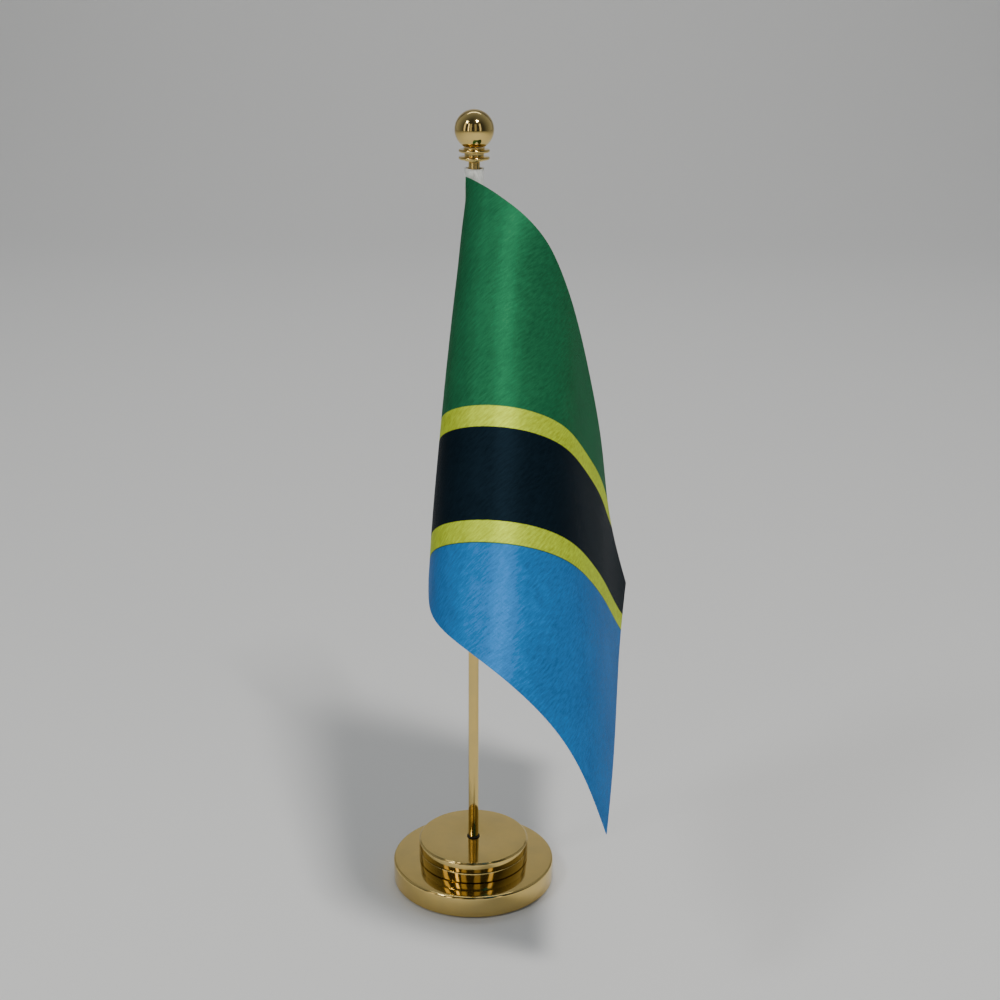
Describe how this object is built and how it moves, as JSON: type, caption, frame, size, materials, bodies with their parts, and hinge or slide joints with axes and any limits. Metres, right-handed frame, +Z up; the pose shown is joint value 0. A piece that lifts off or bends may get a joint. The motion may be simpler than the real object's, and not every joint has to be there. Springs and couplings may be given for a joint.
{
  "type": "desk flag stand",
  "caption": "Table flag on a screw-in pole with a ball finial and a weighted two-tier round base; the flag swivels and slides.",
  "frame": {"origin": "centre of the rubber pad's underside, where the stand rests on a desk", "axes": "+Z up along the pole; -Y towards the viewer; +X to the viewer's right, where the flag's fly hangs"},
  "size_m": [0.0986, 0.151, 0.3246],
  "materials": {
    "gold": "polished gold plate",
    "iron": "rough cast",
    "steel": "zinc plated",
    "rubber": "matt black",
    "stop_plastic": "clear soft plastic",
    "flag_cloth": "printed satin: green, yellow, black and blue",
    "sleeve_cloth": "white satin"
  },
  "bodies": {
    "base": {"base_pad": "rubber", "base_weight": "iron", "base_shell": "gold", "drum_lower": "gold", "drum_upper": "gold", "centre_nipple": "steel", "clamp_washer": "steel", "clamp_nut": "steel"},
    "pole_carriage": {"foot_ring": "rubber"},
    "pole": {"pole_tube": "gold", "pole_foot_stud": "steel"},
    "stop": {"stop_ring": "stop_plastic"},
    "flag": {"flag_sleeve": "sleeve_cloth", "flag_panel": "flag_cloth"},
    "finial_carriage": {"finial_stud": "steel"},
    "finial": {"finial_collar": "gold", "finial_ball": "gold"}
  },
  "joints": [
    {"name": "pole_lift", "type": "slide", "parent": "base", "child": "pole_carriage", "axis": [0, 0, 1], "range_m": [0, 0.005]},
    {"name": "pole_turn", "type": "hinge", "parent": "pole_carriage", "child": "pole", "pos_m": [0, 0, 0.0206], "axis": [0, 0, 1], "range_deg": [0, 3600]},
    {"name": "flag_slide", "type": "slide", "parent": "pole", "child": "stop", "axis": [0, 0, 1], "range_m": [-0.07, 0.002]},
    {"name": "flag_swivel", "type": "hinge", "parent": "stop", "child": "flag", "pos_m": [0, 0, 0.16], "axis": [0, 0, 1], "continuous": true},
    {"name": "finial_lift", "type": "slide", "parent": "pole", "child": "finial_carriage", "axis": [0, 0, 1], "range_m": [0, 0.005]},
    {"name": "finial_turn", "type": "hinge", "parent": "finial_carriage", "child": "finial", "pos_m": [0, 0, 0.3056], "axis": [0, 0, 1], "range_deg": [0, 3600]}
  ],
  "couplings": [
    {"joint": "pole_turn", "follows": "pole_lift", "rad_per_m": 12566},
    {"joint": "finial_turn", "follows": "finial_lift", "rad_per_m": 12566}
  ]
}
